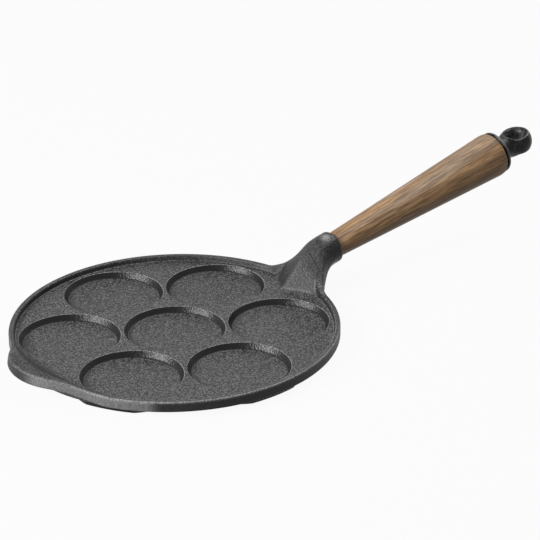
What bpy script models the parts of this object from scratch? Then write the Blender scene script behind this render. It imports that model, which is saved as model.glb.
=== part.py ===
"""Cast-iron pancake pan with seven shallow wells, a walnut handle and a hanging eye.

Metres, +Z up. The origin is on the flat under the centre well, which the pan stands on. The handle
points along +X and the grip ear along -X, and the pan is the same on both sides of the plane Y = 0.
"""
import math

import bmesh
import bpy
from mathutils import Vector

# Driving sizes, in metres

# wells
WELL_R = 0.0354            # mouth radius, at the plate
WELL_DEPTH = 0.0041
WELL_DRAFT = 0.0028        # how much smaller the floor's radius is
WELL_LIP = 0.0008          # rounding of the mouth
WELL_FILLET = 0.0011       # rounding where wall and floor meet
BRIDGE = 0.0022            # plate left between two wells, and between a well and the rim
OUTER_WELLS = 6

# plate, rim and bosses
FLOOR_T = 0.0039           # iron under a well
WEB_T = 0.0039             # iron between the bosses
RIM_T = 0.0044             # rim thickness at the plate
RIM_DRAFT = 0.0010         # lean of the rim's inner wall
RIM_H = 0.00365            # rim height above the plate
RIM_ROUND = 0.0010         # rounding of the crest
RIM_FILLET = 0.0016        # rounding at the foot of the inner wall
RIM_HEEL = 0.0015          # rounding of the outer lower edge
EDGE = 0.0004              # break of the edge between rim and web
BOSS_WALL = 0.0052         # an outer boss is this much wider than its well
BOSS_SETBACK = 0.0040      # the bosses stop this far inside the rim's outer wall
BOSS_ROUND = 0.0012        # rounding of the bosses' lower edge

# grip ear
EAR_REACH = 0.0139         # tip of the top edge beyond the rim
EAR_FLARE = 0.0013         # the lower edge stands this much further out
EAR_NOSE_R = 0.043         # radius of the tip, seen from above
EAR_BLEND_R = 0.120        # radius of the hollow between tip and rim
EAR_CREST_RISE = 0.00415   # rise of the inner ridge above the rim's height
EAR_EDGE_RISE = 0.00755    # rise of the outer top edge above the rim's height
EAR_HEEL_RISE = 0.00775    # rise of the outer lower edge above the rim's heel
EAR_TUCK = 0.0030          # fall of the ear's underside towards the rim
EAR_CREST_FLAT = 0.0120    # the inner ridge keeps its height this far to each side
EAR_CREST_END = 0.0520     # and has come down to the rim here
EAR_EDGE_FLAT = 0.0140     # the same for the outer top edge
EAR_EDGE_END = 0.0620
EAR_HEEL_FLAT = 0.0200     # and for the outer lower edge
EAR_HEEL_END = 0.0600

# neck, which rises from the plate to the collar
TILT = math.radians(10.7)  # rise of the handle
RIDGE_INSET = 0.0196       # the ridge leaves the plate this far inside the rim's outer wall
RIDGE_SLOPE = 1.13         # rise of the ridge
FACET_FALL = 0.67          # fall of the two facets, to each side of the ridge
FACET_BLEND = 0.15         # how softly they turn steeper towards the collar
RIDGE_BLEND = 0.0105       # length over which the ridge bends into the collar
RIDGE_ROUND = 0.0012       # rounding of the ridge
FLANK_R = 0.024            # hollow between rim and collar, seen from above
ARCH_START = 0.0275        # the section starts to turn round this far from the mouth
ARCH_END = 0.0140          # and is round here
THROAT_INSET = 0.0030      # the underside leaves the rim this far outside its outer wall
THROAT_SLOPE = 1.43        # rise of the underside
THROAT_BLEND = 0.0060      # length over which it bends into the collar
BELLY_ROUND = 0.0015       # rounding of the flat underside's edges
BELLY_START = 0.0240       # the underside starts to turn round this far from the mouth
BELLY_END = 0.0050         # and is round here
LAND_RISE = 0.0052         # rise of the rim's land along the flank
LAND_FULL = 0.55           # it has its full height up to this share of the flank's angle
LAND_END = 1.15            # and ends here
LAND_NARROW = 0.75         # the land is half as wide up to this share
LAND_WIDE = 1.85           # and has its full width here
NECK_TAIL = 0.0030         # length of the neck buried in the plate

# collar and handle
MOUTH_REACH = 0.0280       # centre of the collar's mouth beyond the rim's outer wall
MOUTH_H = 0.02085          # and above the plate
COLLAR_WALL = 0.0022
COLLAR_ROUND = 0.0021      # rounding of the mouth
SOCKET_DEPTH = 0.0060
FIT = 0.0003               # clearance between pieces that touch
GRIP_LENGTH = 0.1635
GRIP_HEAD_R = 0.00896      # in the socket
GRIP_MAX_R = 0.01680       # at the shoulder
GRIP_END_R = 0.01600       # at the flange
GRIP_SHOULDER = 0.0040     # length of the rounded end
ROD_R = 0.0040
ROD_ENGAGED = 0.0125       # rod in the collar's threaded bore: ten turns of 1.25 mm pitch
BORE_RELIEF = 0.0050       # bore left beyond the rod's tip

# washer and hanging eye
WASHER_T = 0.0009
WASHER_INSET = 0.0009      # the washer is this much smaller than the handle's end
FLANGE_T = 0.0024
FLANGE_ROUND = 0.0007
FLANGE_FILLET = 0.0010     # hollow at the foot of the eye's neck
EYE_NECK_R = 0.0087
EYE_NECK_ROUND = 0.0030    # hollow where neck and ball meet
EYE_REACH = 0.0223         # from the flange's inner face to the ball's centre
EYE_R = 0.0121
EYE_UNDERCUT = 0.33        # the ball's surface turns in to the neck at this share of its radius
EYE_HOLE_R = 0.0057        # at the waist
EYE_HALF_T = 0.0065        # half the eye's thickness, along the hole
ROD_IN_EYE = 0.0120
ROD_CHAMFER = 0.0008

# clearance of a cut that runs out of the solid
CUT_OVER = 0.0020
SKIN = 0.00002             # overlap that keeps two flat faces from lying in one plane

# fineness of round shapes
PAN_STEPS = 96
WELL_STEPS = 44
BOSS_STEPS = 144
HANDLE_STEPS = 32
NECK_STEPS = 15
NECK_STATIONS = 24

# Sizes that follow

PITCH = 2 * WELL_R + BRIDGE
FOOT_R = PITCH + WELL_R + BRIDGE
PAN_R = FOOT_R + RIM_T
CREST_R = FOOT_R + RIM_DRAFT
PLATE_Z = FLOOR_T + WELL_DEPTH
WEB_Z = PLATE_Z - WEB_T
RIM_Z = PLATE_Z + RIM_H

ALONG = Vector((math.cos(TILT), 0, math.sin(TILT)))
ACROSS = Vector((-math.sin(TILT), 0, math.cos(TILT)))
MOUTH = Vector((PAN_R + MOUTH_REACH, 0, PLATE_Z + MOUTH_H))

GRIP_START = FIT - SOCKET_DEPTH
GRIP_END = GRIP_START + GRIP_LENGTH
GRIP_TAPER = (GRIP_MAX_R - GRIP_HEAD_R) / (GRIP_LENGTH - GRIP_SHOULDER)
SOCKET_R = GRIP_HEAD_R + GRIP_TAPER * SOCKET_DEPTH + FIT
COLLAR_R = SOCKET_R + COLLAR_WALL
HOLE_R = ROD_R + FIT
WASHER_START = GRIP_END + FIT
EYE_START = WASHER_START + WASHER_T + FIT
FLANGE_R = GRIP_END_R
EYE_CENTRE = EYE_START + EYE_REACH
ROD_TIP = -SOCKET_DEPTH - ROD_ENGAGED
ROD_END = EYE_START + ROD_IN_EYE

FLANK_Y = COLLAR_R + FLANK_R
FLANK_X = math.sqrt((PAN_R + FLANK_R) ** 2 - FLANK_Y ** 2)
FLANK_ANGLE = math.atan2(FLANK_Y, FLANK_X)


# Helpers

def smooth_step(x):
    """0 below 0, 1 above 1, with a soft start and end."""
    x = min(max(x, 0.0), 1.0)
    return x * x * (3 - 2 * x)


def soft_min(a, b, width):
    """The smaller of two, rounded over a width where they are nearly equal."""
    h = max(width - abs(a - b), 0.0) / width
    return min(a, b) - h * h * width / 4


def soft_max(a, b, width):
    return -soft_min(-a, -b, width)


def fade(value, full, end):
    """1 up to the first value, falling to 0 at the second."""
    return 1 - smooth_step((value - full) / (end - full))


def rounded(corners, steps=3):
    """A profile's points, from (radius, height, rounding) corners."""
    points = []
    for i, (r, z, rounding) in enumerate(corners):
        here = Vector((r, z))
        if rounding <= 0 or i in (0, len(corners) - 1):
            points.append(here)
            continue
        before = Vector(corners[i - 1][:2]) - here
        after = Vector(corners[i + 1][:2]) - here
        half = before.angle(after) / 2
        cut = min(rounding / math.tan(half), 0.45 * before.length, 0.45 * after.length)
        radius = cut * math.tan(half)
        centre = here + (before.normalized() + after.normalized()).normalized() * radius / math.sin(half)
        start = here + before.normalized() * cut - centre
        turn = start.angle_signed(here + after.normalized() * cut - centre)
        for k in range(steps + 1):
            angle = -turn * k / steps
            spun = Vector((start.x * math.cos(angle) - start.y * math.sin(angle),
                           start.x * math.sin(angle) + start.y * math.cos(angle)))
            points.append(centre + spun)
    return points


def collection(name):
    made = bpy.data.collections.new(name)
    bpy.context.scene.collection.children.link(made)
    return made


def material(name, colour, roughness, metallic):
    made = bpy.data.materials.new(name)
    made.use_nodes = True
    shader = made.node_tree.nodes["Principled BSDF"]
    shader.inputs["Base Color"].default_value = (*colour, 1)
    shader.inputs["Roughness"].default_value = roughness
    shader.inputs["Metallic"].default_value = metallic
    made.diffuse_color = (*colour, 1)
    return made


def add_object(name, mesh, where):
    made = bpy.data.objects.new(name, mesh)
    where.objects.link(made)
    return made


def as_cutter(made):
    made.hide_render = True
    made.display_type = "WIRE"
    return made


def turned(name, points, where, steps, closed=False):
    """A profile in the XZ plane, from (radius, height) points, turned about Z."""
    mesh = bpy.data.meshes.new(name)
    edges = [(i, i + 1) for i in range(len(points) - 1)]
    if closed:
        edges.append((len(points) - 1, 0))
    mesh.from_pydata([(r, 0, z) for r, z in points], edges, [])
    made = add_object(name, mesh, where)
    screw = made.modifiers.new("turn", "SCREW")
    screw.axis = "Z"
    screw.steps = steps
    screw.render_steps = steps
    screw.use_merge_vertices = True
    screw.merge_threshold = 0.000005
    screw.use_smooth_shade = True
    return made


def lofted(name, rings, where):
    """Bridges rings of equal count and closes both ends."""
    bm = bmesh.new()
    rows = [[bm.verts.new(p) for p in ring] for ring in rings]
    count = len(rows[0])
    for low, high in zip(rows, rows[1:]):
        for i in range(count):
            k = (i + 1) % count
            bm.faces.new((low[i], low[k], high[k], high[i]))
    bm.faces.new(rows[0][::-1])
    bm.faces.new(rows[-1])
    bmesh.ops.recalc_face_normals(bm, faces=bm.faces)
    mesh = bpy.data.meshes.new(name)
    bm.to_mesh(mesh)
    bm.free()
    mesh.shade_smooth()
    mesh.set_sharp_from_angle(angle=math.radians(32))
    return add_object(name, mesh, where)


def combine(target, other, operation):
    boolean = target.modifiers.new(other.name, "BOOLEAN")
    boolean.operation = operation
    boolean.solver = "EXACT"
    boolean.object = other
    as_cutter(other)


def on_handle(made, distance=0.0):
    """Puts a turned piece on the handle's axis, this far out from the collar's mouth."""
    made.parent = handle_axis
    made.location = (0, 0, distance)
    return made


# Scene

for old in list(bpy.data.objects):
    bpy.data.objects.remove(old, do_unlink=True)

pieces = collection("pancake_pan")
tools = collection("cutters")

iron = material("cast_iron", (0.045, 0.045, 0.046), 0.5, 0.6)
walnut = material("walnut", (0.30, 0.14, 0.06), 0.42, 0.0)
black = material("black_steel", (0.020, 0.020, 0.021), 0.35, 0.7)
steel = material("rod_steel", (0.45, 0.45, 0.46), 0.3, 1.0)

handle_axis = bpy.data.objects.new("handle_axis", None)
pieces.objects.link(handle_axis)
handle_axis.location = MOUTH
handle_axis.rotation_euler = (0, math.pi / 2 - TILT, 0)


# Plate, rim and ear

def ear_outline(angle):
    """Radius of the ear's top edge at an angle from the tip, or the rim's radius beyond it."""
    nose_x = PAN_R + EAR_REACH - EAR_NOSE_R
    far, near = PAN_R + EAR_BLEND_R, EAR_NOSE_R + EAR_BLEND_R
    hollow_x = (far ** 2 - near ** 2 + nose_x ** 2) / (2 * nose_x)
    hollow_y = math.sqrt(far ** 2 - hollow_x ** 2)
    tangent_on_rim = math.atan2(hollow_y, hollow_x)
    nose_point = Vector((nose_x, 0)).lerp(Vector((hollow_x, hollow_y)), EAR_NOSE_R / near)
    tangent_on_nose = math.atan2(nose_point.y, nose_point.x)
    a = abs(angle)
    if a >= tangent_on_rim:
        return PAN_R
    if a >= tangent_on_nose:
        along = hollow_x * math.cos(a) + hollow_y * math.sin(a)
        return along - math.sqrt(max(along ** 2 - far ** 2 + EAR_BLEND_R ** 2, 0))
    along = nose_x * math.cos(a)
    return along + math.sqrt(along ** 2 - nose_x ** 2 + EAR_NOSE_R ** 2)


def flank_outline(angle):
    """Radius of the neck's flank at an angle from the handle, or the rim's radius beyond it."""
    a = abs(angle)
    if a >= FLANK_ANGLE:
        return PAN_R
    a = max(a, 0.6 * FLANK_ANGLE)
    along = FLANK_X * math.cos(a) + FLANK_Y * math.sin(a)
    return along - math.sqrt(along ** 2 - (PAN_R + FLANK_R) ** 2 + FLANK_R ** 2)


def rim_section(angle):
    """Radii and heights round the rim's section, from the plate over the crest to the web."""
    from_ear = math.pi - abs(angle)
    y = PAN_R * math.sin(from_ear) if from_ear < math.pi / 2 else PAN_R
    crest_share = fade(y, EAR_CREST_FLAT, EAR_CREST_END)
    edge_share = fade(y, EAR_EDGE_FLAT, EAR_EDGE_END)
    heel_share = fade(y, EAR_HEEL_FLAT, EAR_HEEL_END)
    land = fade(abs(angle) / FLANK_ANGLE, LAND_FULL, LAND_END)
    narrow = fade(abs(angle) / FLANK_ANGLE, LAND_NARROW, LAND_WIDE)

    outer = max(ear_outline(from_ear), flank_outline(angle))
    heel = outer + EAR_FLARE * heel_share
    rise = LAND_RISE * land
    crest_z = RIM_Z + EAR_CREST_RISE * crest_share + rise
    edge_z = RIM_Z + EAR_EDGE_RISE * edge_share + rise
    heel_z = WEB_Z + EAR_HEEL_RISE * heel_share
    crest_r = CREST_R + 0.5 * (outer - CREST_R - 2 * RIM_ROUND) * narrow
    toe = PAN_R - RIM_HEEL
    tuck = toe + (RIM_HEEL - EDGE) * heel_share - EDGE
    corners = [
        (FOOT_R - 2.2 * RIM_FILLET, PLATE_Z, 0),
        (FOOT_R, PLATE_Z, RIM_FILLET),
        (crest_r, crest_z, RIM_ROUND),
        (outer, edge_z, RIM_ROUND),
        (heel, heel_z, RIM_HEEL),
        (tuck, heel_z - EAR_TUCK * heel_share, 0),
        (tuck - EDGE, WEB_Z + EDGE * heel_share, 0),
        (tuck - 4 * EDGE, WEB_Z, 0),
    ]
    return rounded(corners, 2)


rim_angles = [2 * math.pi * i / PAN_STEPS for i in range(PAN_STEPS)]
sections = [rim_section(math.remainder(a, 2 * math.pi)) for a in rim_angles]
rim_rings = [
    [(r * math.cos(a), r * math.sin(a), z) for a, (r, z) in zip(rim_angles, row)]
    for row in zip(*sections)
]
casting = lofted("pan_casting", rim_rings, pieces)
casting.data.materials.append(iron)


# Bosses under the wells

def boss_ring(z, shrink):
    """The outline round the outer wells' bosses, which meet, trimmed short of the rim."""
    ring = []
    reach = WELL_R + BOSS_WALL - shrink
    for i in range(BOSS_STEPS):
        angle = 2 * math.pi * i / BOSS_STEPS
        sector = 2 * math.pi / OUTER_WELLS
        off = (angle % sector) - sector / 2
        chord = math.sqrt(max(reach ** 2 - (PITCH * math.sin(off)) ** 2, 0))
        r = min(PITCH * math.cos(off) + chord, PAN_R - BOSS_SETBACK - shrink)
        ring.append((r * math.cos(angle), r * math.sin(angle), z))
    return ring


boss_rings = [boss_ring(0, BOSS_ROUND)]
for i in range(1, 4):
    turn = math.pi / 2 * i / 3
    boss_rings.append(boss_ring(BOSS_ROUND * (1 - math.cos(turn)), BOSS_ROUND * (1 - math.sin(turn))))
boss_rings.append(boss_ring(PLATE_Z - WEB_T / 2, 0))
bosses = lofted("bosses", boss_rings, tools)
combine(casting, bosses, "UNION")

well_spots = [(0.0, 0.0)]
for i in range(OUTER_WELLS):
    bearing = 2 * math.pi * (i + 0.5) / OUTER_WELLS
    well_spots.append((PITCH * math.cos(bearing), PITCH * math.sin(bearing)))


# Neck and collar

def flank_half_width(x):
    """Half the neck's width, seen from above."""
    if x >= FLANK_X:
        return COLLAR_R
    if x <= PAN_R * math.cos(FLANK_ANGLE):
        return math.sqrt(PAN_R ** 2 - max(x, CREST_R - RIDGE_BLEND) ** 2)
    return FLANK_Y - math.sqrt(FLANK_R ** 2 - (FLANK_X - x) ** 2)


def neck_section(s):
    """The neck's outline in the plane across the handle's axis, this far out from the mouth."""
    foot = MOUTH + ALONG * s
    sin_t, cos_t = math.sin(TILT), math.cos(TILT)
    steep = cos_t + RIDGE_SLOPE * sin_t
    ridge_x = PAN_R - RIDGE_INSET
    ridge = (PLATE_Z + RIDGE_SLOPE * (foot.x - ridge_x) - foot.z) / steep
    ridge = soft_min(ridge, COLLAR_R, RIDGE_BLEND)
    plunge = (PLATE_Z - WEB_T / 2 - foot.z) / cos_t
    roundness = fade(-s, ARCH_END, ARCH_START)

    def top(y, half):
        fall = soft_max(FACET_FALL / steep, COLLAR_R / half, FACET_BLEND)
        facet = fall * (math.hypot(y, RIDGE_ROUND) - RIDGE_ROUND)
        arch = COLLAR_R * (1 - math.sqrt(max(1 - (y / half) ** 2, 0)))
        return max(ridge - (1 - roundness) * facet - roundness * arch, plunge)

    half = flank_half_width(foot.x)
    for _ in range(6):
        half = flank_half_width(foot.x - sin_t * top(half, half))

    throat_x = PAN_R + THROAT_INSET
    w = -COLLAR_R
    for _ in range(6):
        x = foot.x - sin_t * w
        under = (WEB_Z + THROAT_SLOPE * (x - throat_x) - foot.z) / cos_t
        under = soft_min(under, -COLLAR_R, THROAT_BLEND)
        w = soft_max(under, (WEB_Z + EDGE / 2 - foot.z) / cos_t, THROAT_BLEND / 2)
    bulge = BELLY_ROUND + (COLLAR_R - BELLY_ROUND) * fade(-s, BELLY_END, BELLY_START)

    section = []
    for i in range(2 * NECK_STEPS):
        turn = math.pi * i / NECK_STEPS
        y = half * math.cos(turn)
        if i <= NECK_STEPS:
            height = top(y, half)
        else:
            height = w + bulge * (1 + math.sin(turn))
        section.append(foot + Vector((0, y, 0)) + ACROSS * height)
    return section


def collar_end(s, radius):
    foot = MOUTH + ALONG * s
    ring = []
    for i in range(2 * NECK_STEPS):
        turn = math.pi * i / NECK_STEPS
        ring.append(foot + Vector((0, radius * math.cos(turn), 0)) + ACROSS * radius * math.sin(turn))
    return ring


neck_start = -(MOUTH_REACH + RIDGE_INSET + NECK_TAIL) / math.cos(TILT)
neck_rings = []
for i in range(NECK_STATIONS + 1):
    share = i / NECK_STATIONS
    neck_rings.append(neck_section(neck_start * (1 - share) - COLLAR_ROUND * share))
for i in range(1, 4):
    turn = math.pi / 2 * i / 3
    lip_r = COLLAR_R - COLLAR_ROUND * (1 - math.cos(turn))
    neck_rings.append(collar_end(COLLAR_ROUND * (math.sin(turn) - 1), lip_r))
neck = lofted("neck", neck_rings, tools)
combine(casting, neck, "UNION")


# Wells, socket and bore

well_profile = rounded([
    (0, PLATE_Z + CUT_OVER, 0),
    (WELL_R + WELL_LIP, PLATE_Z + CUT_OVER, 0),
    (WELL_R + WELL_LIP, PLATE_Z + SKIN, 0),
    (WELL_R, PLATE_Z + SKIN, WELL_LIP),
    (WELL_R - WELL_DRAFT, FLOOR_T, WELL_FILLET),
    (0, FLOOR_T, 0),
], 2)
for i, (x, y) in enumerate(well_spots):
    well = turned(f"well_{i}", well_profile, tools, WELL_STEPS)
    well.location = (x, y, 0)
    combine(casting, well, "DIFFERENCE")

socket_bottom = -SOCKET_DEPTH
bore_bottom = ROD_TIP - BORE_RELIEF
socket = on_handle(turned("socket", [
    (0, COLLAR_R), (SOCKET_R, COLLAR_R), (SOCKET_R, socket_bottom), (HOLE_R, socket_bottom),
    (HOLE_R, bore_bottom), (0, bore_bottom - HOLE_R / 2)], tools, HANDLE_STEPS))
combine(casting, socket, "DIFFERENCE")


# Handle

def grip_radius(distance):
    """Outer radius of the wood, this far from its head."""
    return GRIP_HEAD_R + GRIP_TAPER * distance


shoulder_at = GRIP_LENGTH - GRIP_SHOULDER
shoulder = []
for i in range(5):
    turn = math.pi / 2 * i / 4
    shoulder.append((GRIP_END_R + (GRIP_MAX_R - GRIP_END_R) * math.cos(turn),
                     shoulder_at + GRIP_SHOULDER * math.sin(turn)))
grip_profile = shoulder[::-1]
grip_profile += [(grip_radius(shoulder_at * k / 6), shoulder_at * k / 6) for k in range(5, -1, -1)]
grip_profile += [(HOLE_R + FIT, 0), (HOLE_R + FIT, GRIP_LENGTH)]
grip = on_handle(turned("handle_grip", grip_profile, pieces, HANDLE_STEPS, closed=True), GRIP_START)
grip.data.materials.append(walnut)

washer_r = GRIP_END_R - WASHER_INSET
washer = on_handle(turned("end_washer", [
    (washer_r, WASHER_T), (washer_r, 0), (HOLE_R, 0), (HOLE_R, WASHER_T)],
    pieces, HANDLE_STEPS, closed=True), WASHER_START)
washer.data.materials.append(black)


# Hanging eye and rod

def eye_profile():
    """Flange, neck and ball, from the ball's end down to the flange's inner face."""
    points = []
    tangent = math.asin(EYE_UNDERCUT)
    for i in range(11):
        turn = math.pi / 2 - (math.pi / 2 + tangent) * i / 10
        points.append((EYE_R * math.cos(turn), EYE_REACH + EYE_R * math.sin(turn)))
    points[0] = (0, EYE_REACH + EYE_R)
    stem = EYE_REACH - EYE_R + EYE_NECK_ROUND / 12
    points += [(r, z) for r, z in rounded([
        (points[-1][0], points[-1][1], 0),
        (EYE_NECK_R, stem, EYE_NECK_ROUND),
        (EYE_NECK_R, FLANGE_T, FLANGE_FILLET),
        (FLANGE_R, FLANGE_T, FLANGE_ROUND),
        (FLANGE_R, 0, FLANGE_ROUND / 2),
        (0, 0, 0)])][1:]
    return points


eye = on_handle(turned("hanging_eye", eye_profile(), pieces, HANDLE_STEPS), EYE_START)
eye.data.materials.append(black)

mouth_r = math.sqrt(EYE_R ** 2 - EYE_HALF_T ** 2)
flare_r = ((mouth_r - EYE_HOLE_R) ** 2 + EYE_HALF_T ** 2) / (2 * (mouth_r - EYE_HOLE_R))
hole_points = [(0, 1.2 * EYE_R), (mouth_r, 1.2 * EYE_R)]
for i in range(9):
    w = EYE_HALF_T * (1 - i / 4)
    hole_points.append((EYE_HOLE_R + flare_r - math.sqrt(flare_r ** 2 - w ** 2), w))
hole_points += [(mouth_r, -1.2 * EYE_R), (0, -1.2 * EYE_R)]
hole = on_handle(turned("eye_hole", hole_points, tools, HANDLE_STEPS), EYE_CENTRE)
hole.rotation_euler = (0, -math.pi / 2, 0)
combine(eye, hole, "DIFFERENCE")

rod_seat = on_handle(turned("rod_seat", [
    (0, ROD_IN_EYE + FIT), (HOLE_R, ROD_IN_EYE + FIT), (HOLE_R, -EYE_R), (0, -EYE_R)],
    tools, HANDLE_STEPS), EYE_START)
combine(eye, rod_seat, "DIFFERENCE")

rod_length = ROD_END - ROD_TIP
rod = on_handle(turned("tie_rod", rounded([
    (0, rod_length, 0), (ROD_R, rod_length, ROD_CHAMFER), (ROD_R, 0, ROD_CHAMFER), (0, 0, 0)], 2),
    pieces, HANDLE_STEPS), ROD_TIP)
rod.data.materials.append(steel)
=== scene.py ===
import math

import bmesh
import bpy
from mathutils import Matrix, Vector
from mathutils.geometry import delaunay_2d_cdt


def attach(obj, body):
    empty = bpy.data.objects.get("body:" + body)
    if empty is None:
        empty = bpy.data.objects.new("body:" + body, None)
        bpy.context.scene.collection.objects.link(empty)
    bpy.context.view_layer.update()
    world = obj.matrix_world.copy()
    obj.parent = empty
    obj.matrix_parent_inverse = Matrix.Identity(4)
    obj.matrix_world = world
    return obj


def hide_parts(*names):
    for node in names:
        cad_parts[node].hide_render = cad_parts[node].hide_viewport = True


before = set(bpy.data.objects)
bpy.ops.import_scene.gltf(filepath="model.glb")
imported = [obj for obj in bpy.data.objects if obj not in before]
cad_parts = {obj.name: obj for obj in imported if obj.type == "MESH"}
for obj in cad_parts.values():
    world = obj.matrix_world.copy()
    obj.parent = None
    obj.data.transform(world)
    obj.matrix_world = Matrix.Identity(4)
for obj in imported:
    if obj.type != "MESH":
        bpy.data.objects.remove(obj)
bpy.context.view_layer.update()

# Sizes of the pan, in metres, as in the CAD model. Z is counted from the bosses' undersides.

MM = 0.001
PLATE_Z = 8.0 * MM
FLOOR_Z = 3.9 * MM
WEB_Z = 4.1 * MM
RIM_Z = 11.65 * MM
PAN_R = 115.0 * MM
FOOT_R = 110.6 * MM
CREST_R = 111.6 * MM
SEAM_R = 109.35 * MM
RIM_ROUND = 1.0 * MM
RIM_FILLET = 1.5 * MM
RIM_HEEL = 1.5 * MM
RIM_TUCK = 0.4 * MM

EAR_NOSE_R = 43.0 * MM
EAR_BLEND_R = 120.0 * MM
EAR_REACH = 13.9 * MM
EAR_CREST_RISE = 4.15 * MM
EAR_EDGE_RISE = 7.55 * MM
EAR_HEEL_RISE = 7.75 * MM
EAR_HEEL_REACH = 1.3 * MM
EAR_TUCK = 1.1 * MM
EAR_LIP = 3.0 * MM

PITCH = 73.0 * MM
WELL_R = 35.4 * MM
WELL_FLOOR_R = 32.6 * MM
WELL_LIP = 0.9 * MM
WELL_FILLET = 1.2 * MM
BOSS_R = 40.6 * MM
BOSS_LIMIT = 111.0 * MM
BOSS_ROUND = 1.2 * MM

# The neck and the handle. Places along the handle's axis are counted from the collar's mouth.

TILT = math.radians(10.7)
SIN_T, COS_T = math.sin(TILT), math.cos(TILT)
ALONG = Vector((COS_T, 0, SIN_T))
ACROSS = Vector((-SIN_T, 0, COS_T))
MOUTH = Vector((143.0 * MM, 0, 28.85 * MM))
RIDGE_X = 95.4 * MM
RIDGE_SLOPE = 1.13
RIDGE_BLEND = 10.5 * MM
RIDGE_ROUND = 1.0 * MM
FACET_FALL = 0.67
NECK_HOLLOW = 2.4 * MM
NECK_LAND_RISE = 5.2 * MM
NECK_HEEL_TUCK = 3.0 * MM
COLLAR_R = 11.755 * MM
COLLAR_ROUND = 2.1 * MM
FLANK_R = 24.0 * MM
FLANK_Y = COLLAR_R + FLANK_R
FLANK_X = math.sqrt((PAN_R + FLANK_R) ** 2 - FLANK_Y ** 2)
FLANK_ANGLE = math.atan2(FLANK_Y, FLANK_X)
FLANK_FOOT_X = 101.1 * MM
THROAT_X = 118.0 * MM
THROAT_SLOPE = 1.43
THROAT_BLEND = 6.0 * MM
WEB_BLEND = 3.0 * MM
NECK_START = -40.0 * MM
NECK_BULGE = 1.5 * MM
NECK_SINK = 0.15 * MM
NECK_PLUNGE = 1.7 * MM
MOUTH_BEVEL = 0.1 * MM

SOCKET_R = 9.555 * MM
SOCKET_DEPTH = 6.0 * MM
HOLE_R = 4.3 * MM
BORE_DEPTH = 23.5 * MM
GRIP_START = -5.7 * MM
GRIP_LENGTH = 163.5 * MM
GRIP_HEAD_R = 8.96 * MM
GRIP_HEAD_ROUND = 0.4 * MM
GRIP_MAX_R = 16.8 * MM
GRIP_END_R = 16.0 * MM
GRIP_SHOULDER = 4.0 * MM
GRIP_HOLE_R = HOLE_R + 0.3 * MM
WASHER_START = 158.1 * MM
WASHER_R = GRIP_END_R - 0.9 * MM
WASHER_T = 0.9 * MM
EYE_START = 159.3 * MM
EYE_CENTRE = 181.6 * MM
EYE_R = 12.1 * MM
EYE_NECK_R = 8.7 * MM
EYE_HALF_T = 6.5 * MM
EYE_HOLE_R = 5.7 * MM
FLANGE_T = 2.4 * MM

# How finely the pieces are divided

ROUND_STEPS = 5
NECK_ARC = math.radians(27)
NECK_STEP, RIM_STEP = math.radians(0.3), math.radians(0.75)
NECK_POINTS = 44
NECK_RINGS = 60
LATHE_STEPS = 96
EYE_STEPS = 72
GRID_STEP = 0.8 * MM
GRID_COUNT_X, GRID_COUNT_Y = 60, 56
SEAM_GAP, WELL_GAP = 0.4 * MM, 1.1 * MM
NECK_FIELD_X, NECK_FIELD_Y = 86 * MM, 46 * MM

# Rows of the rim's section, counted outwards from its seam with the plate

FOOT, INNER_WALL, CREST = range(2, 4), range(4, 9), range(9, 15)
LAND, BROW, WALL = range(15, 26), range(26, 32), range(31, 44)
INNER_WALL_TOP = range(6, 9)
EAR_LINE = range(9, 18)
LAST_BLENDED_ROW = 34

# Rows of a well's profile, counted inwards from its mouth

WELL_LIP_ROWS, WELL_WALL_ROWS = range(3, 5), range(6, 13)

# How deep the pebbles are, as the blue of the mesh's colour layer, and what the ear, land and walls change
# in it

PLATE_DEPTH = 0.5
EAR_DEPTH = 1.0
NECK_DEPTH = 0.19
COLLAR_DEPTH = 0.32
WELL_WALL_DEPTH = 0.27

EAR_PITTED, LAND_SMOOTHED, WALL_SMOOTHED, INNER_SMOOTHED = 0.7, 0.2, 0.4, 0.2

# How dark the painted shade is in each place, and how bright the painted highlights on the edges are

INNER_WALL_SHADE, OUTER_WALL_SHADE, AWAY_SIDE_SHADE, EAR_TOP_SHADE = 0.7, 0.45, 0.35, 0.22
FAR_FLANK_SHADE, COLLAR_SHADE, BOSS_SHADE, WELL_WALL_SHADE = 0.9, 0.7, 1.0, 1.0
WELL_LIP_HIGHLIGHT, NECK_FOOT_HIGHLIGHT, BROW_HIGHLIGHT, FOOT_HIGHLIGHT, CREST_HIGHLIGHT = 0.8, 0.45, 0.75, 0.6, 0.3

PLAIN = (0.0, PLATE_DEPTH, 0.0)
# The bearing that the rim's painted highlights face most; the land and brow facing away from it get painted
# shade
LIT_SIDE = math.radians(-105)
# Where a painted highlight sits on the collar's top: its middle, its radius and the height above which it
# lies
COLLAR_HIGHLIGHT_X, COLLAR_HIGHLIGHT_Y, COLLAR_HIGHLIGHT_R, COLLAR_HIGHLIGHT_ABOVE = 134 * MM, -2 * MM, 6 * MM, 35 * MM


# Helpers

def smooth_step(x):
    x = min(max(x, 0.0), 1.0)
    return x * x * (3 - 2 * x)


def fade(value, full, end):
    """1 up to full, and 0 from end on."""
    return 1 - smooth_step((value - full) / (end - full))


def fade_arc(angle, full, end):
    """The same for an angle, with its limits in degrees."""
    return fade(angle, math.radians(full), math.radians(end))


def soft_min(a, b, width):
    h = max(width - abs(a - b), 0.0) / width
    return min(a, b) - h * h * width / 4


def soft_max(a, b, width):
    return -soft_min(-a, -b, width)


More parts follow.
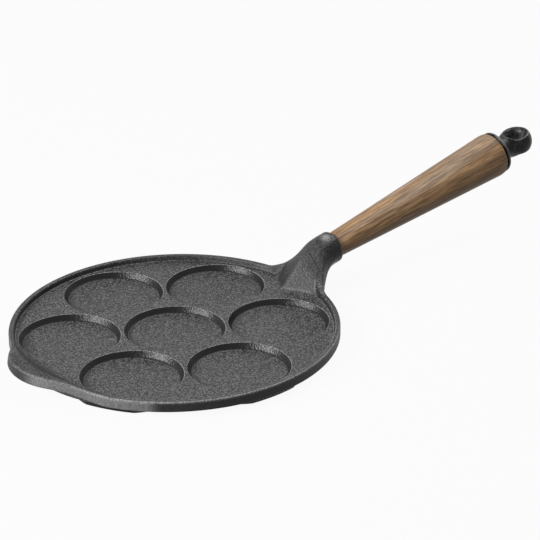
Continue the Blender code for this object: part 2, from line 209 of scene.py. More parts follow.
def rounded(corners, steps=ROUND_STEPS):
    """Points of a profile from (radius, height, rounding) corners."""
    points = []
    for i, (r, z, rounding) in enumerate(corners):
        here = Vector((r, z))
        if rounding <= 0 or i in (0, len(corners) - 1):
            points.append(here)
            continue
        before = Vector(corners[i - 1][:2]) - here
        after = Vector(corners[i + 1][:2]) - here
        half = before.angle(after) / 2
        cut = min(rounding / math.tan(half), 0.45 * before.length, 0.45 * after.length)
        radius = cut * math.tan(half)
        inward = (before.normalized() + after.normalized()).normalized()
        centre = here + inward * radius / math.sin(half)
        start = here + before.normalized() * cut - centre
        turn = start.angle_signed(here + after.normalized() * cut - centre)
        for k in range(steps + 1):
            cosine, sine = math.cos(-turn * k / steps), math.sin(-turn * k / steps)
            points.append(centre + Vector((start.x * cosine - start.y * sine,
                                           start.x * sine + start.y * cosine)))
    return points


def divided(points, longest):
    """The same profile with its long straight runs divided."""
    out = [points[0]]
    for a, b in zip(points, points[1:]):
        parts = max(1, math.ceil((b - a).length / longest))
        for k in range(1, parts + 1):
            out.append(a.lerp(b, k / parts))
    return out


def circle(centre, side, radius, steps):
    """Points round a circle that starts on +Y and turns towards side."""
    points = []
    for i in range(steps):
        turn = 2 * math.pi * i / steps
        points.append(centre + Vector((0, radius * math.cos(turn), 0)) + side * radius * math.sin(turn))
    return points


def add_object(name, bm):
    mesh = bpy.data.meshes.new(name)
    bm.to_mesh(mesh)
    bm.free()
    made = bpy.data.objects.new(name, mesh)
    bpy.context.scene.collection.objects.link(made)
    return made


def add_piece(name, bm, body, material, stands_for):
    bmesh.ops.recalc_face_normals(bm, faces=bm.faces)
    made = add_object(name, bm)
    made.data.shade_smooth()
    made.data.materials.append(material)
    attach(made, body)
    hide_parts(stands_for)
    return made


def bridge(bm, low, high):
    count = len(low)
    for i in range(count):
        k = (i + 1) % count
        bm.faces.new((low[i], low[k], high[k], high[i]))


def lathe(bm, points, start, origin=MOUTH, axis=ALONG, side=ACROSS, steps=LATHE_STEPS, closed=False):
    """A (radius, height) profile turned about an axis, with its height counted from start."""
    rows = []
    for r, h in points:
        centre = origin + axis * (start + h)
        ring = circle(centre, side, r, steps) if r > 0 else [centre]
        rows.append([bm.verts.new(point) for point in ring])
    pairs = list(zip(rows, rows[1:]))
    if closed:
        pairs.append((rows[-1], rows[0]))
    for low, high in pairs:
        if len(low) == len(high):
            bridge(bm, low, high)
            continue
        tip, row = (low[0], high) if len(low) == 1 else (high[0], low)
        for i in range(steps):
            bm.faces.new((tip, row[i], row[(i + 1) % steps]))


# Materials

class Nodes:
    """A short way to build a node tree."""

    def __init__(self, tree):
        self.tree = tree

    def put(self, socket, value):
        if isinstance(value, bpy.types.NodeSocket):
            self.tree.links.new(value, socket)
        else:
            socket.default_value = value

    def node(self, kind, **values):
        made = self.tree.nodes.new("ShaderNode" + kind)
        for key, value in values.items():
            if hasattr(made, key):
                setattr(made, key, value)
            else:
                self.put(made.inputs[key.replace("_", " ")], value)
        return made

    def math(self, operation, a, b=0.0, clamp=False):
        made = self.node("Math", operation=operation, use_clamp=clamp)
        self.put(made.inputs[0], a)
        self.put(made.inputs[1], b)
        return made.outputs[0]

    def add(self, a, b):
        return self.math("ADD", a, b)

    def times(self, a, b, clamp=False):
        return self.math("MULTIPLY", a, b, clamp)

    def ramp(self, fac, *stops):
        """A colour ramp of (place, colour) stops, where a colour may be one grey level."""
        made = self.node("ValToRGB", Fac=fac)
        elements = made.color_ramp.elements
        while len(elements) < len(stops):
            elements.new(0.5)
        for element, (place, colour) in zip(elements, stops):
            element.position = place
            element.color = (*(grey(colour) if isinstance(colour, float) else colour), 1)
        return made.outputs[0]

    def mix(self, fac, a, b):
        made = self.node("Mix", data_type="RGBA")
        self.put(made.inputs["Factor"], fac)
        self.put(made.inputs[6], a)
        self.put(made.inputs[7], b)
        return made.outputs[2]

    def noise(self, vector, scale, detail=3.0, roughness=0.5, distortion=0.0):
        return self.node("TexNoise", Vector=vector, Scale=scale, Detail=detail,
                         Roughness=roughness, Distortion=distortion).outputs["Fac"]

    def layer(self, name, output="Fac"):
        return self.node("Attribute", attribute_name=name).outputs[output]

    def seen(self):
        """1 for camera, mirror and glass rays, which see plain white, and 0 for rays that light things."""
        rays = self.node("LightPath").outputs
        indirect = self.math("MAXIMUM", rays["Is Glossy Ray"], rays["Is Transmission Ray"])
        return self.math("MAXIMUM", rays["Is Camera Ray"], indirect)


class Skin(Nodes):
    """A material of one principled shader, in object coordinates."""

    def __init__(self, name, **values):
        self.material = bpy.data.materials.new(name)
        self.material.use_nodes = True
        super().__init__(self.material.node_tree)
        self.shader = self.tree.nodes["Principled BSDF"]
        for key, value in values.items():
            self.shader.inputs[key.replace("_", " ")].default_value = value

    def place(self):
        return self.node("TexCoord").outputs["Object"]

    def dress(self, colour, roughness, height, distance, strength):
        """Joins up the colour, the roughness and a bump of this height."""
        bump = self.node("Bump", Height=height, Distance=distance, Strength=strength)
        self.put(self.shader.inputs["Base Color"], colour)
        self.put(self.shader.inputs["Roughness"], roughness)
        self.put(self.shader.inputs["Normal"], bump.outputs["Normal"])
        return self.material


def grey(value):
    return (value, value, value * 1.01)


def cast_iron(name):
    """Seasoned sand-cast iron: small pebbles of two sizes, paler on their tops, darker in the pits.

    The mesh's colour layer says where it differs: red is a painted highlight on edges and lips, green is
    painted light that makes the outer wall paler on its lit side, and blue is how deep the pebbles are,
    with one half for the plate. Its other layer is painted shade, dark and smooth, in the wells, under the
    rim, on the walls and on the neck's far side, collar and ear.
    """
    m = Skin(name, Metallic=0.0, IOR=1.5, Specular_IOR_Level=0.2)
    at = m.place()
    painted_light_and_depth = m.node("SeparateColor", Color=m.layer("painted_light_and_depth", "Color")).outputs
    painted_highlight, painted_lit_wall, depth = painted_light_and_depth[0], painted_light_and_depth[1], painted_light_and_depth[2]
    painted_shade = m.layer("painted_shade")
    pebble = m.noise(at, 1050.0, 0.0)
    coarse = m.noise(at, 620.0, 1.0)
    cloud = m.noise(at, 26.0, 4.0, 0.6)
    grain = m.add(m.times(pebble, 0.5), m.times(coarse, 0.5))

    speckled = m.ramp(grain, (0.44, 0.005), (0.51, 0.028), (0.585, 0.084))
    plain = m.ramp(cloud, (0.3, 0.014), (0.7, 0.034))
    cast = m.mix(m.times(depth, 1.7, clamp=True), plain, speckled)
    # Painted light: the outer wall is made paler where the green says, on its lit side.
    with_lit_wall = m.mix(painted_lit_wall, cast, m.ramp(grain, (0.40, 0.085), (0.60, 0.125)))
    # Painted highlight: the red lightens the pebble tops on edges and lips.
    highlight_on_tops = m.times(painted_highlight, m.ramp(grain, (0.42, 0.5), (0.56, 1.0)))
    highlighted = m.mix(highlight_on_tops, with_lit_wall, (0.200, 0.200, 0.203, 1))
    # Painted shade: the shade layer darkens the colour to near black.
    colour = m.mix(painted_shade, highlighted, (0.002, 0.002, 0.002, 1))

    unlike_plate = m.math("ABSOLUTE", m.math("SUBTRACT", depth, PLATE_DEPTH))
    matt = m.times(m.math("SUBTRACT", unlike_plate, 0.18, clamp=True), 0.9)
    pebbly = m.add(0.23, m.times(coarse, 0.20))
    roughness = m.add(matt, m.math("SUBTRACT", pebbly, m.times(painted_shade, 0.03)))
    return m.dress(colour, roughness, grain, 0.8 * MM, m.add(0.12, m.times(depth, 1.25)))


def walnut_wood(name):
    """Oiled walnut: wide bands of early and late wood along the handle, with fibres and dark pores."""
    m = Skin(name, Metallic=0.0, IOR=1.46, Specular_IOR_Level=0.18)
    along = m.node("Mapping", vector_type="POINT", Vector=m.place(), Rotation=(0, TILT, 0)).outputs[0]

    def grain(lengthwise, crosswise, detail, roughness=0.5, distortion=0.0):
        scale = (lengthwise, crosswise, crosswise)
        stretched = m.node("Mapping", vector_type="POINT", Vector=along, Scale=scale).outputs[0]
        return m.noise(stretched, 1.0, detail, roughness, distortion)

    bands = grain(4.0, 70.0, 4.0, 0.55, 0.5)
    tint = grain(5.0, 105.0, 2.0, 0.5, 0.4)
    fibres = grain(30.0, 620.0, 3.0, 0.6)
    pores = grain(36.0, 1250.0, 1.0)

    wood = m.ramp(bands, (0.32, (0.075, 0.040, 0.020)), (0.43, (0.215, 0.125, 0.060)),
                  (0.54, (0.360, 0.240, 0.145)), (0.66, (0.150, 0.090, 0.048)))
    golden = m.mix(m.ramp(tint, (0.48, 0.0), (0.62, 0.75)), wood, (0.310, 0.180, 0.085, 1))
    greyed = m.mix(m.ramp(tint, (0.36, 0.65), (0.48, 0.0)), golden, (0.215, 0.170, 0.130, 1))
    streaked = m.mix(m.ramp(fibres, (0.36, 0.8), (0.60, 0.0)), greyed, (0.090, 0.052, 0.028, 1))
    pored = m.mix(m.ramp(pores, (0.33, 0.6), (0.42, 0.0)), streaked, (0.070, 0.042, 0.024, 1))
    return m.dress(pored, m.add(0.40, m.times(fibres, 0.20)), m.add(fibres, pores), 0.10 * MM, 0.5)


def satin_black(name):
    """Black coating over forged steel, slightly wavy, with a fine orange peel.

    The mesh's edge layer is a painted highlight in pale steel colour, along the flange's edge and the eye's
    lip.
    """
    m = Skin(name, Metallic=0.0, IOR=1.5, Specular_IOR_Level=0.16)
    at = m.place()
    fine = m.noise(at, 1100.0, 2.0)
    cloud = m.noise(at, 160.0, 3.0)
    coat = m.ramp(cloud, (0.45, 0.002), (0.66, 0.055))
    # Painted highlight: pale steel colour where the edge layer says, on the flange's edge and the eye's
    # lip.
    highlighted_edge = m.times(m.layer("edge_highlight"), m.add(cloud, 0.2), clamp=True)
    colour = m.mix(highlighted_edge, coat, (0.170, 0.160, 0.150, 1))
    waves = m.add(fine, m.times(cloud, 6.0))
    return m.dress(colour, m.add(0.27, m.times(cloud, 0.16)), waves, 0.12 * MM, 0.7)


def plain_steel(name):
    m = Skin(name, Metallic=1.0)
    fine = m.noise(m.place(), 900.0)
    colour = m.ramp(fine, (0.3, 0.36), (0.7, 0.52))
    return m.dress(colour, m.add(0.22, m.times(fine, 0.16)), fine, 0.03 * MM, 0.4)


iron = cast_iron("cast_iron_skin")
walnut = walnut_wood("oiled_walnut")
black = satin_black("satin_black_steel")
steel = plain_steel("rod_steel_skin")


# Plate, wells, rim and ear

def ear_outline(angle):
    """The ear's outline at an angle from its tip: a round nose with a hollow blend into the rim."""
    nose_x = PAN_R + EAR_REACH - EAR_NOSE_R
    far, near = PAN_R + EAR_BLEND_R, EAR_NOSE_R + EAR_BLEND_R
    hollow_x = (far ** 2 - near ** 2 + nose_x ** 2) / (2 * nose_x)
    hollow_y = math.sqrt(far ** 2 - hollow_x ** 2)
    meeting = Vector((nose_x, 0)).lerp(Vector((hollow_x, hollow_y)), EAR_NOSE_R / near)
    a = abs(angle)
    if a >= math.atan2(hollow_y, hollow_x):
        return PAN_R
    if a >= math.atan2(meeting.y, meeting.x):
        along = hollow_x * math.cos(a) + hollow_y * math.sin(a)
        return along - math.sqrt(max(along ** 2 - far ** 2 + EAR_BLEND_R ** 2, 0))
    along = nose_x * math.cos(a)
    return along + math.sqrt(along ** 2 - nose_x ** 2 + EAR_NOSE_R ** 2)


def flank_outline(angle):
    """The outline where the rim runs into the neck's flanks."""
    a = abs(angle)
    if a >= FLANK_ANGLE:
        return PAN_R
    a = max(a, 0.6 * FLANK_ANGLE)
    along = FLANK_X * math.cos(a) + FLANK_Y * math.sin(a)
    return along - math.sqrt(along ** 2 - (PAN_R + FLANK_R) ** 2 + FLANK_R ** 2)


def rim_section(angle):
    """The rim's section from the plate over crest and land down to the web, always with as many points."""
    from_ear = math.pi - abs(angle)
    y = PAN_R * math.sin(from_ear) if from_ear < math.pi / 2 else PAN_R

    # The ear's rises fade with the distance from its middle, and the neck's with the bearing
    crest_share = fade(y, 12 * MM, 52 * MM)
    edge_share = fade(y, 14 * MM, 62 * MM)
    heel_share = fade(y, 20 * MM, 60 * MM)
    by_flank = abs(angle) / FLANK_ANGLE
    rise = NECK_LAND_RISE * fade(by_flank, 0.55, 1.15)
    outer = max(ear_outline(from_ear), flank_outline(angle))
    heel = outer + EAR_HEEL_REACH * heel_share - NECK_HEEL_TUCK * fade(by_flank, 0.5, 0.75)
    heel_z = WEB_Z + EAR_HEEL_RISE * heel_share
    narrowed = 0.5 * (outer - CREST_R - 2 * RIM_ROUND) * fade(by_flank, 0.75, 1.85)
    tuck = PAN_R - RIM_HEEL + EAR_TUCK * heel_share - RIM_TUCK

    # radius, height, rounding, and into how many parts the run to the next corner is divided
    corners = [
        (SEAM_R, PLATE_Z, 0, 1),
        (FOOT_R, PLATE_Z, RIM_FILLET, 3),
        (CREST_R + narrowed, RIM_Z + EAR_CREST_RISE * crest_share + rise, RIM_ROUND, 12),
        (outer, RIM_Z + EAR_EDGE_RISE * edge_share + rise, RIM_ROUND * 0.9, 6),
        (heel, heel_z, RIM_HEEL, 6),
        (tuck, heel_z - EAR_LIP * heel_share, 0, 2),
        (tuck - 0.4 * MM, WEB_Z + 0.4 * MM * heel_share, 0, 2),
        (tuck - 0.6 * MM, WEB_Z, 0, 1),
    ]
    raw = rounded([corner[:3] for corner in corners])
    points = [raw[0]]
    at = 0
    for i, (_, _, _, parts) in enumerate(corners[:-1]):
        here, ahead = raw[at], raw[at + 1]
        for k in range(1, parts + 1):
            points.append(here.lerp(ahead, k / parts))
        at += 1
        if corners[i + 1][2] > 0:
            points += raw[at + 1:at + 1 + ROUND_STEPS]
            at += ROUND_STEPS
    return points


def flank_half_width(x):
    if x >= FLANK_X:
        return COLLAR_R
    if x <= PAN_R * math.cos(FLANK_ANGLE):
        return math.sqrt(PAN_R ** 2 - max(x, FLANK_FOOT_X) ** 2)
    return FLANK_Y - math.sqrt(FLANK_R ** 2 - (FLANK_X - x) ** 2)


def neck_top(foot_x, y, half):
    """Height of the neck's skin over the handle's axis, in the plane across the axis at foot_x."""
    s = (foot_x - MOUTH.x) / COS_T
    foot_z = MOUTH.z + SIN_T * s
    steep = COS_T + RIDGE_SLOPE * SIN_T
    ridge = (PLATE_Z + RIDGE_SLOPE * (foot_x - RIDGE_X) - foot_z) / steep
    ridge = soft_min(ridge, COLLAR_R, RIDGE_BLEND)
    roundness = fade(-s, 14.0 * MM, 27.5 * MM)
    fall = soft_max(FACET_FALL / steep, COLLAR_R / half, 0.15)
    facet = fall * (math.hypot(y, RIDGE_ROUND) - RIDGE_ROUND)
    arch = COLLAR_R * (1 - math.sqrt(max(1 - (y / half) ** 2, 0)))
    return ridge - (1 - roundness) * facet - roundness * arch


def roof(x, y):
    """Height of the neck's skin over the ground."""
    half = flank_half_width(x)
    foot_x = x
    for _ in range(5):
        w = neck_top(foot_x, min(abs(y), half), half)
        foot_x = x + SIN_T * w
    return MOUTH.z + (foot_x - MOUTH.x) * SIN_T / COS_T + COS_T * w


def blended(x, y, z):
    """The plate or rim's height, with the neck rising out of it through a soft hollow."""
    if x < NECK_FIELD_X or abs(y) > NECK_FIELD_Y:
        return z
    return soft_max(z, roof(x, y), NECK_HOLLOW)


def far_flank_shade(x, y):
    """How much painted shade darkens the neck's far side, out to where it turns round."""
    past_ridge = smooth_step((y - 0.5 * MM) / (2.5 * MM))
    return FAR_FLANK_SHADE * past_ridge * fade(y, 15 * MM, 21 * MM) * fade(x, 118 * MM, 134 * MM)


def rim_highlight_by_row(row):
    """How bright the painted highlight on the rim is, by row of its section: most on its outer top edge."""
    if row in BROW:
        return BROW_HIGHLIGHT
    if row in FOOT:
        return FOOT_HIGHLIGHT
    return CREST_HIGHLIGHT if row in CREST else 0.0


def rim_light_and_depth(row, a, on_neck, far):
    """The values of the mesh's colour layer and the amount of painted shade, by row of the rim's section
    and bearing.

    The ear's top is pitted and carries painted shade, with a line of painted shade along its crest; its
    outer wall is painted lighter on its lit side and darker beyond; and the rim is smooth on the neck, with
    painted highlights brightest towards the lit side and painted shade on the land and brow that face away
    from it.
    """
    from_ear, round_from_ear = math.pi - abs(a), a + math.pi
    in_land, in_wall = row in LAND, row in WALL
    on_ear = fade_arc(from_ear, 8, 22) * in_land
    # The ear's crest line gets deeper pebbles and painted shade.
    ear_line = fade_arc(from_ear, 20, 32) * (row in EAR_LINE)
    # Painted highlights are brightest towards the lit side; the land and brow facing away get painted
    # shade.
    by_side = 0.1 + 0.9 * smooth_step(1.3 * math.cos(a - LIT_SIDE))
    toward_light = 1.0 if row in FOOT else by_side
    smooth = max(on_neck, fade_arc(a, 22, 100) * (a > 0) * (row < LAND.stop))

    # Painted highlight on the rim's edges.
    painted_highlight = rim_highlight_by_row(row) * toward_light * (1 - smooth) * max(1 - on_ear - ear_line, 0)
    # Painted light: the outer wall beside the ear is made paler on its lit side.
    painted_lit_wall = smooth_step(math.degrees(round_from_ear) / 8) * fade_arc(round_from_ear, 44, 49) * in_wall
    depth = PLATE_DEPTH + EAR_PITTED * on_ear - LAND_SMOOTHED * in_land
    depth -= WALL_SMOOTHED * in_wall + INNER_SMOOTHED * (row in INNER_WALL_TOP)
    depth += (NECK_DEPTH - depth) * smooth + (EAR_DEPTH - depth) * ear_line
    # Painted shade on the inner wall, on the outer wall beyond the paler part, on the land and brow facing
    # away, on the ear's top and crest line, and on the neck's far flank.
    shade_amount = INNER_WALL_SHADE * (1 - smooth) * (row in INNER_WALL) + OUTER_WALL_SHADE * in_wall * (1 - painted_lit_wall)
    shade_amount += AWAY_SIDE_SHADE * (1 - toward_light) * (1 - smooth) * (in_land or row in BROW) * (1 - on_ear)
    shade_amount = min(shade_amount + EAR_TOP_SHADE * on_ear + ear_line + on_neck * far, 1)
    return (painted_highlight, painted_lit_wall, depth, 1), shade_amount


angles = []
a = -math.pi
while a < math.pi - 1e-6:
    angles.append(a)
    a += NECK_STEP if abs(a) < NECK_ARC else RIM_STEP

body = bmesh.new()
painted_light_and_depth = body.verts.layers.float_color.new("painted_light_and_depth")
painted_shade = body.verts.layers.float.new("painted_shade")
sections = [rim_section(a) for a in angles]
rim_rows = []
for row in range(len(sections[0])):
    ring = []
    for a, section in zip(angles, sections):
        r, z = section[row]
        x, y = r * math.cos(a), r * math.sin(a)
        height = blended(x, y, z) if row <= LAST_BLENDED_ROW else z
        made = body.verts.new((x, y, height))
        on_neck = smooth_step((height - z) / (1.0 * MM))
        made[painted_light_and_depth], made[painted_shade] = rim_light_and_depth(row, a, on_neck, far_flank_shade(x, y))
        ring.append(made)
    rim_rows.append(ring)
for low, high in zip(rim_rows, rim_rows[1:]):
    bridge(body, low, high)

well_spots = [(0.0, 0.0)]
for i in range(6):
    bearing = math.radians(60 * i + 30)
    well_spots.append((PITCH * math.cos(bearing), PITCH * math.sin(bearing)))

well_profile = rounded([
    (WELL_R + 1.6 * MM, PLATE_Z, 0),
    (WELL_R, PLATE_Z, WELL_LIP),
    (WELL_FLOOR_R, FLOOR_Z, WELL_FILLET),
    (WELL_FLOOR_R - 3 * MM, FLOOR_Z, 0),
])
well_profile[0].x = WELL_R + 0.7 * MM  # drawn in only now, so that the lip's rounding had its full length
well_profile[7:7] = [well_profile[6].lerp(well_profile[7], k / 3) for k in (1, 2)]
well_profile += [Vector((r, FLOOR_Z)) for r in (28 * MM, 20 * MM, 10 * MM)]

# The plate's top is triangulated between the rim's seam and the rings of the wells, so each of its points
# has a place, a height, its look as (painted highlight, pebble depth, painted shade), and the edges that
# have to stay.
flat, heights, looks, edges = [], [], [], []


def add_flat(x, y, z, look=PLAIN):
    flat.append(Vector((x, y)))
    heights.append(z)
    looks.append(look)


def add_edges(first, count):
    edges.extend((first + i, first + (i + 1) % count) for i in range(count))


for vert in rim_rows[0]:
    add_flat(*vert.co)
seam_count = len(flat)
add_edges(0, seam_count)
for cx, cy in well_spots:
    for row, (r, z) in enumerate(well_profile):
        on_wall = row in WELL_WALL_ROWS
        # Painted highlight on the wells' lips, and painted shade on their walls.
        painted_highlight = WELL_LIP_HIGHLIGHT if row in WELL_LIP_ROWS else 0.0
        look = (painted_highlight, WELL_WALL_DEPTH, WELL_WALL_SHADE) if on_wall else (painted_highlight, PLATE_DEPTH, 0.0)
        count = 180 if r > 29 * MM else 36
        add_edges(len(flat), count)
        for i in range(count):
            turn = 2 * math.pi * i / count
            add_flat(cx + r * math.cos(turn), cy + r * math.sin(turn), z, look)
for i in range(GRID_COUNT_X):
    for k in range(-GRID_COUNT_Y, GRID_COUNT_Y + 1):
        x, y = NECK_FIELD_X + i * GRID_STEP, k * GRID_STEP
        from_well = min(math.hypot(x - cx, y - cy) for cx, cy in well_spots)
        if math.hypot(x, y) <= SEAM_R - SEAM_GAP and from_well >= WELL_R + WELL_GAP:
            add_flat(x, y, blended(x, y, PLATE_Z))

found, _, triangles, origins, _, _ = delaunay_2d_cdt(flat, edges, [], 0, 1e-7)
top_verts = []
for point, source in zip(found, origins):
    if source and source[0] < seam_count:
        top_verts.append(rim_rows[0][source[0]])
        continue
    height = heights[source[0]] if source else PLATE_Z
    painted_highlight, depth, shade_amount = looks[source[0]] if source else PLAIN
    on_neck = smooth_step((height - PLATE_Z) / (1.0 * MM))
    # Painted highlight along the hollow at the neck's foot, and painted shade on the neck's far flank.
    in_hollow = 1 - abs(2 * smooth_step((height - PLATE_Z) / (3.0 * MM)) - 1)
    far = far_flank_shade(point.x, point.y)
    made = body.verts.new((point.x, point.y, height))
    painted_highlight = max(painted_highlight, NECK_FOOT_HIGHLIGHT * in_hollow * (1 - far))
    made[painted_light_and_depth] = (painted_highlight, 0, depth + (NECK_DEPTH - depth) * on_neck, 1)
    made[painted_shade] = max(shade_amount, far * on_neck)
    top_verts.append(made)
for triangle in triangles:
    body.faces.new([top_verts[i] for i in triangle])


# Bosses under the wells

def boss_ring(z, shrink):
    """The flower-shaped outline of the bosses together, drawn in by shrink."""
    ring = []
    for angle in angles:
        off = (angle % math.radians(60)) - math.radians(30)
        chord = math.sqrt(max((BOSS_R - shrink) ** 2 - (PITCH * math.sin(off)) ** 2, 0))
        r = min(PITCH * math.cos(off) + chord, BOSS_LIMIT - shrink)
        ring.append(body.verts.new((r * math.cos(angle), r * math.sin(angle), z)))
    return ring


boss_rings = [
    boss_ring(WEB_Z, -0.8 * MM),
    boss_ring(WEB_Z - 0.25 * MM, -0.2 * MM),
    boss_ring(WEB_Z - 0.8 * MM, 0),
]
for i in range(7):
    turn = math.pi / 2 * i / 6
    boss_rings.append(boss_ring(BOSS_ROUND * (1 - math.sin(turn)), BOSS_ROUND * (1 - math.cos(turn))))
boss_rings.append(boss_ring(0.0, 4.0 * MM))
# Painted shade on the bosses under the rim.
for ring in boss_rings:
    for vert in ring:
        vert[painted_light_and_depth] = (0, 0, PLATE_DEPTH, 1)
        vert[painted_shade] = BOSS_SHADE
for low, high in zip(boss_rings, boss_rings[1:]):
    bridge(body, low, high)
body.faces.new(boss_rings[-1])
bridge(body, rim_rows[-1], boss_rings[0])


# Neck and collar

def neck_section(s):
    """The neck's outline in the plane across the handle's axis at s.

    Near the plate it lies just under the skin that roof() gives the plate and rim, so that only one shows.
    """
    foot = MOUTH + ALONG * s
    sink = NECK_SINK * fade(foot.x, 117.5 * MM, 119.5 * MM)
    half = flank_half_width(foot.x)
    for _ in range(6):
        half = flank_half_width(foot.x - SIN_T * neck_top(foot.x, half, half))
    plunge = (PLATE_Z - NECK_PLUNGE - foot.z) / COS_T
    w = -COLLAR_R
    for _ in range(6):
        x = foot.x - SIN_T * w
        under = (WEB_Z + THROAT_SLOPE * (x - THROAT_X) - foot.z) / COS_T
        under = soft_min(under, -COLLAR_R, THROAT_BLEND)
        w = soft_max(under, (WEB_Z + 0.2 * MM - foot.z) / COS_T, WEB_BLEND)
    bulge = NECK_BULGE + (COLLAR_R - NECK_BULGE) * fade(-s, 5.0 * MM, 24.0 * MM)
    section = []
    for i in range(2 * NECK_POINTS):
        turn = math.pi * i / NECK_POINTS
        y = (half - sink) * math.cos(turn)
        if i <= NECK_POINTS:
            height = max(neck_top(foot.x, y, half) - sink, plunge)
        else:
            height = w + bulge * (1 + math.sin(turn))
        section.append(foot + Vector((0, y, 0)) + ACROSS * height)
    return section


def collar_ring(s, radius):
    return circle(MOUTH + ALONG * s, ACROSS, radius, 2 * NECK_POINTS)


neck_rings = []
for i in range(NECK_RINGS + 1):
    share = i / NECK_RINGS
    neck_rings.append(neck_section(NECK_START * (1 - share) - COLLAR_ROUND * share))
for i in range(1, 7):
    turn = math.pi / 2 * i / 6
    neck_rings.append(collar_ring(COLLAR_ROUND * (math.sin(turn) - 1),
                                  COLLAR_R - COLLAR_ROUND * (1 - math.cos(turn))))
neck_rings.append(collar_ring(-MOUTH_BEVEL, SOCKET_R))
neck_rings.append(collar_ring(-SOCKET_DEPTH, SOCKET_R))
neck_rings.append(collar_ring(-SOCKET_DEPTH, HOLE_R))
neck_rings.append(collar_ring(-BORE_DEPTH, HOLE_R))

neck_rings = [[body.verts.new(point) for point in ring] for ring in neck_rings]
for low, high in zip(neck_rings, neck_rings[1:]):
    bridge(body, low, high)
body.faces.new(neck_rings[0][::-1])
body.faces.new(neck_rings[-1])
for ring in neck_rings:
    for vert in ring:
        x, y, z = vert.co
        # Painted highlight on the collar's top, and painted shade on the collar and on the neck's far
        # flank.
        on_collar = fade(MOUTH.x - x, 10 * MM, 22 * MM)
        from_spot = math.hypot((x - COLLAR_HIGHLIGHT_X) / COLLAR_HIGHLIGHT_R, (y - COLLAR_HIGHLIGHT_Y) / COLLAR_HIGHLIGHT_R)
        collar_highlight = fade(from_spot, 0.1, 1.0) * (z > COLLAR_HIGHLIGHT_ABOVE)
        vert[painted_light_and_depth] = (collar_highlight, 0, NECK_DEPTH + (COLLAR_DEPTH - NECK_DEPTH) * on_collar, 1)
        vert[painted_shade] = max(COLLAR_SHADE * on_collar, far_flank_shade(x, y)) * (1 - collar_highlight)

add_piece("cast_pan", body, "pan", iron, "pan_casting")


# Handle, washer and eye

wood = bmesh.new()
shoulder_at = GRIP_LENGTH - GRIP_SHOULDER
grip_profile = divided(rounded([
    (GRIP_HOLE_R, 0, 0),
    (GRIP_HEAD_R, 0, GRIP_HEAD_ROUND),
    (GRIP_MAX_R, shoulder_at, 0),
], 4), 8 * MM)
for i in range(1, 9):
    turn = math.pi / 2 * i / 8
    grip_profile.append(Vector((GRIP_END_R + (GRIP_MAX_R - GRIP_END_R) * math.cos(turn),
                                shoulder_at + GRIP_SHOULDER * math.sin(turn))))
grip_profile += [Vector((GRIP_END_R - 0.3 * MM, GRIP_LENGTH)), Vector((GRIP_HOLE_R, GRIP_LENGTH))]
lathe(wood, grip_profile, GRIP_START, closed=True)
add_piece("wooden_handle", wood, "grip", walnut, "handle_grip")

washer = bmesh.new()
lathe(washer, rounded([
    (HOLE_R, 0, 0),
    (WASHER_R, 0, 0.2 * MM),
    (WASHER_R, WASHER_T, 0.2 * MM),
    (HOLE_R, WASHER_T, 0),
], 3), WASHER_START, closed=True)
add_piece("washer_ring", washer, "grip", black, "end_washer")

flange = bmesh.new()
flange_end = FLANGE_T + 1.6 * MM
lathe(flange, rounded([
    (0, 0, 0),
    (GRIP_END_R, 0, 0.6 * MM),
    (GRIP_END_R, FLANGE_T, 0.7 * MM),
    (EYE_NECK_R, FLANGE_T, 1.4 * MM),
    (EYE_NECK_R - 0.1 * MM, flange_end, 0),
    (0, flange_end, 0),
], 4), EYE_START)
# Painted highlight round the flange's front edge.
edge_highlight = flange.verts.layers.float.new("edge_highlight")
for vert in flange.verts:
    out = vert.co - MOUTH
    s = out.dot(ALONG)
    if (out - ALONG * s).length > GRIP_END_R - 0.5 * MM and 0.7 * MM < s - EYE_START < 2.2 * MM:
        vert[edge_highlight] = 1.0
add_piece("eye_flange", flange, "eye_bolt", black, "hanging_eye")

# The ball is turned on past its widest place, to where it meets its neck, and then bored by a flared cutter
ball = bmesh.new()
reach = EYE_CENTRE - EYE_START
past_widest = math.asin(0.33)
ball_profile = [Vector((0, reach + EYE_R))]
for i in range(1, 25):
    turn = math.pi / 2 - (math.pi / 2 + past_widest) * i / 24
    ball_profile.append(Vector((EYE_R * math.cos(turn), reach + EYE_R * math.sin(turn))))
neck_foot = rounded([(ball_profile[-1].x, ball_profile[-1].y, 0),
                     (EYE_NECK_R, reach - EYE_R + 0.25 * MM, 3.0 * MM),
                     (EYE_NECK_R, 1.0 * MM, 0), (0, 1.0 * MM, 0)])
lathe(ball, ball_profile + neck_foot[1:], EYE_START, steps=EYE_STEPS)
eye = add_piece("eye_ball", ball, "eye_bolt", black, "hanging_eye")

cutter_bm = bmesh.new()
eye_centre = MOUTH + ALONG * EYE_CENTRE
cutter_end = 14 * MM
mouth_r = math.sqrt(EYE_R ** 2 - EYE_HALF_T ** 2)
flare_r = ((mouth_r - EYE_HOLE_R) ** 2 + EYE_HALF_T ** 2) / (2 * (mouth_r - EYE_HOLE_R))
hole_profile = [(0.0, cutter_end), (mouth_r, cutter_end)]
for i in range(17):
    w = EYE_HALF_T * (1 - i / 8)
    hole_profile.append((EYE_HOLE_R + flare_r - math.sqrt(flare_r ** 2 - w ** 2), w))
hole_profile += [(mouth_r, -cutter_end), (0.0, -cutter_end)]
lathe(cutter_bm, hole_profile, 0, eye_centre, ACROSS, ALONG, EYE_STEPS)
bmesh.ops.recalc_face_normals(cutter_bm, faces=cutter_bm.faces)
cutter = add_object("hole_cutter", cutter_bm)

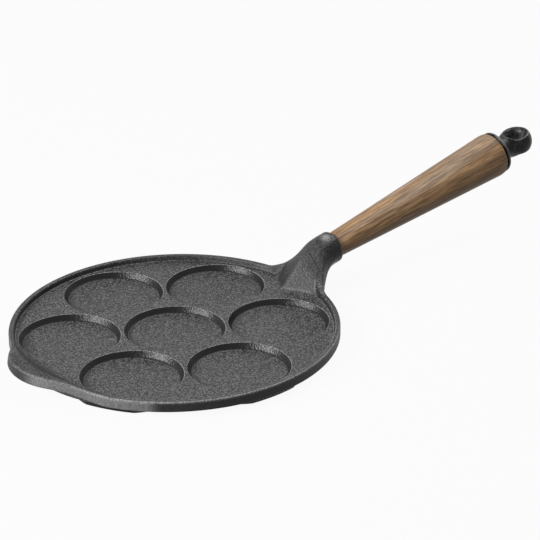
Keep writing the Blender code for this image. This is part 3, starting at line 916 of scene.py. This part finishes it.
cut = eye.modifiers.new("hole", "BOOLEAN")
cut.object = cutter
cut.solver = "EXACT"
remesh = eye.modifiers.new("even", "REMESH")
remesh.mode = "VOXEL"
remesh.voxel_size = 0.3 * MM
remesh.use_smooth_shade = True
soften = eye.modifiers.new("soften", "SMOOTH")
soften.iterations = 5
graph = bpy.context.evaluated_depsgraph_get()
drilled = bpy.data.meshes.new_from_object(eye.evaluated_get(graph))
eye.modifiers.clear()
eye.data = drilled
drilled.shade_smooth()
bpy.data.objects.remove(cutter, do_unlink=True)
# Painted highlight along the lips of the eye's hole.
lip = drilled.attributes.new("edge_highlight", "FLOAT", "POINT")
for vert, share in zip(drilled.vertices, lip.data):
    out = vert.co - eye_centre
    w = out.dot(ACROSS)
    from_lip = math.hypot((out - ACROSS * w).length - mouth_r, abs(w) - EYE_HALF_T)
    share.value = fade(from_lip, 0.3 * MM, 0.7 * MM)

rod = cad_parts["tie_rod"]
for slot in rod.material_slots:
    slot.material = steel


# Floor, light and camera

WHITE = (1, 1, 1, 1)
FLOOR_HALF_SIZE, FLOOR_DROP = 3.0, 0.3 * MM
FLOOR_GREY = (0.30, 0.30, 0.30, 1)
FLOOR_GLOW = 0.94
WORLD_FILL = 0.13

# name, place, aimed at, size and watts
LIGHTS = (
    ("key_window", (-1.49, 0.32, 0.95), (0, 0, 0.02), (1.5, 0.36), 74),
    ("edge_softbox", (1.07, 0.43, 1.38), (0, 0, 0), (0.5, 0.5), 8),
    ("top_softbox", (0.68, -0.18, 1.55), (0.2, 0, 0.04), (0.6, 0.5), 11),
)

# The camera, as fitted to the photograph
AZIMUTH, ELEVATION, ROLL = math.radians(-128.19), math.radians(25.483), math.radians(-0.713)
AIM, DISTANCE = Vector((0.109596, 0.031645, 0.008)), 1.95827
FOCAL_PX, IMAGE_PX, SENSOR_MM = 2700.354, 540, 36

floor_bm = bmesh.new()
bmesh.ops.create_grid(floor_bm, x_segments=8, y_segments=8, size=FLOOR_HALF_SIZE)
floor = add_object("floor", floor_bm)
floor.location = (0, 0, -FLOOR_DROP)
pale = Skin("pale_floor", Roughness=1.0)
pale.put(pale.shader.inputs["Base Color"], FLOOR_GREY)
glow = pale.node("Emission", Color=WHITE, Strength=1.0)
blend = pale.node("MixShader")
pale.put(blend.inputs[0], pale.times(pale.seen(), FLOOR_GLOW))
pale.put(blend.inputs[1], pale.shader.outputs[0])
pale.put(blend.inputs[2], glow.outputs[0])
pale.put(pale.tree.nodes["Material Output"].inputs["Surface"], blend.outputs[0])
floor.data.materials.append(pale.material)

world = bpy.data.worlds.new("studio")
bpy.context.scene.world = world
world.use_nodes = True
sky = Nodes(world.node_tree)
back = sky.tree.nodes["Background"]
sky.put(back.inputs["Color"], WHITE)
level = sky.node("MapRange", Value=sky.seen(), To_Min=WORLD_FILL, To_Max=1.0)
sky.put(back.inputs["Strength"], level.outputs[0])

for name, place, target, size, power in LIGHTS:
    lamp = bpy.data.lights.new(name, "AREA")
    lamp.shape = "RECTANGLE"
    lamp.size, lamp.size_y = size
    lamp.energy = power
    made = bpy.data.objects.new(name, lamp)
    made.location = place
    made.rotation_euler = (Vector(place) - Vector(target)).to_track_quat("Z", "Y").to_euler()
    bpy.context.scene.collection.objects.link(made)

camera_data = bpy.data.cameras.new("camera")
camera = bpy.data.objects.new("camera", camera_data)
bpy.context.scene.collection.objects.link(camera)
toward = Vector((math.cos(AZIMUTH) * math.cos(ELEVATION), math.sin(AZIMUTH) * math.cos(ELEVATION),
                 math.sin(ELEVATION)))
right = Vector((0, 0, 1)).cross(toward).normalized()
up = toward.cross(right)
rolled_right = math.cos(ROLL) * right + math.sin(ROLL) * up
rolled_up = -math.sin(ROLL) * right + math.cos(ROLL) * up
pose = Matrix((rolled_right, rolled_up, toward)).transposed().to_4x4()
pose.translation = AIM + DISTANCE * toward
camera.matrix_world = pose
camera_data.sensor_fit = "HORIZONTAL"
camera_data.sensor_width = SENSOR_MM
camera_data.lens = FOCAL_PX / IMAGE_PX * SENSOR_MM
camera_data.clip_start = 0.05
camera_data.clip_end = 30
bpy.context.scene.camera = camera

bpy.context.scene.view_settings.view_transform = "Standard"

bpy.context.view_layer.update()
